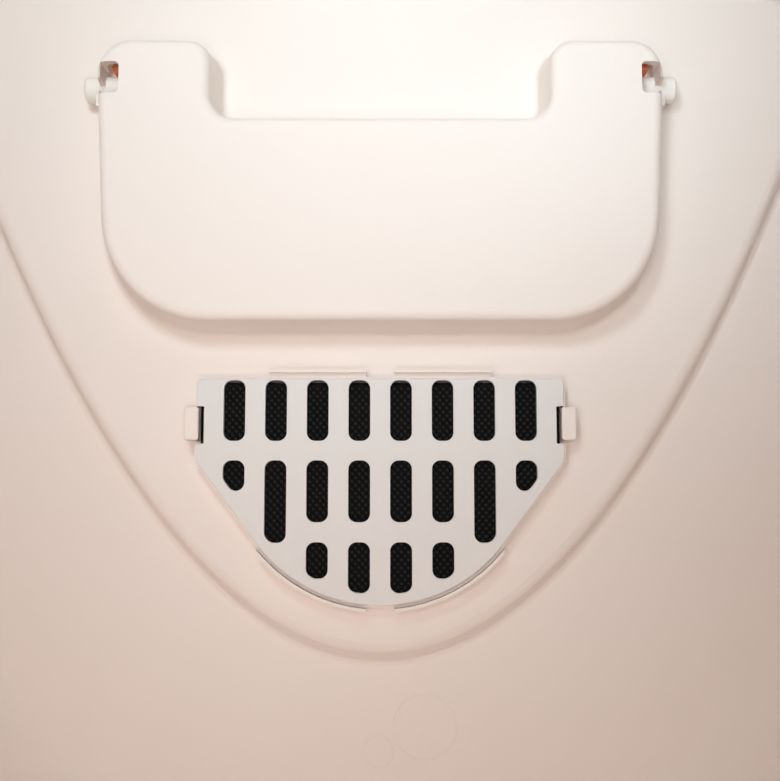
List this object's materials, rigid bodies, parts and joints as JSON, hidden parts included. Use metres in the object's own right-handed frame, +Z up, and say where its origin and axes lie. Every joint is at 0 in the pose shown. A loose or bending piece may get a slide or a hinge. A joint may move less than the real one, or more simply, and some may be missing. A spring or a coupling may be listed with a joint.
{
  "type": "corner litter box",
  "caption": "Hooded corner litter box: a five-sided tub with a right-angled rear corner, a tall hood with a swinging flap, a folding top handle, side latches and a roof filter.",
  "frame": {"origin": "middle of the bounding box on the floor, under the tub", "axes": "+Z up, the door faces -Y, the right-angled rear corner points to +Y, +X to the right of a person who looks at the back from the front"},
  "size_m": [0.5772, 0.4519, 0.4145],
  "materials": {
    "cream_plastic": "fine satin moulding",
    "dark_plastic": "fine satin moulding",
    "orange_plastic": "satin moulding",
    "pin_plastic": "smooth",
    "grey_plastic": "fine matt moulding",
    "filter_cloth": "black nonwoven cloth with an embossed diamond pattern",
    "clear_plastic": "smoke-tinted, see-through"
  },
  "bodies": {
    "tray": {"base_tray": "dark_plastic", "latch_pin_left": "pin_plastic", "latch_pin_right": "pin_plastic"},
    "hood": {"hood": "cream_plastic", "handle_pin_left": "pin_plastic", "handle_pin_right": "pin_plastic"},
    "handle": {"handle": "orange_plastic"},
    "filter": {"filter_grille": "grey_plastic", "filter_pad": "filter_cloth"},
    "flap": {"door_flap": "clear_plastic"},
    "latch_left": {"latch_left": "orange_plastic"},
    "latch_right": {"latch_right": "orange_plastic"}
  },
  "joints": [
    {"name": "hood_lift", "type": "slide", "parent": "tray", "child": "hood", "axis": [0, 0, 1], "range_m": [0, 0.15]},
    {"name": "handle_fold", "type": "hinge", "parent": "hood", "child": "handle", "pos_m": [0, -0.0991, 0.397], "axis": [1, 0, 0], "range_deg": [0, 95]},
    {"name": "flap_swing", "type": "hinge", "parent": "hood", "child": "flap", "pos_m": [0, -0.212, 0.329], "axis": [1, 0, 0], "range_deg": [-70, 70]},
    {"name": "filter_drop", "type": "slide", "parent": "hood", "child": "filter", "axis": [0, 0, -1], "range_m": [0, 0.06]},
    {"name": "latch_right_swing", "type": "hinge", "parent": "tray", "child": "latch_right", "pos_m": [0.24118, -0.13373, 0.126], "axis": [-0.5428, -0.8399, 0], "range_deg": [0, 180]},
    {"name": "latch_left_swing", "type": "hinge", "parent": "tray", "child": "latch_left", "pos_m": [-0.24118, -0.13373, 0.126], "axis": [-0.5428, 0.8399, 0], "range_deg": [0, 180]}
  ]
}
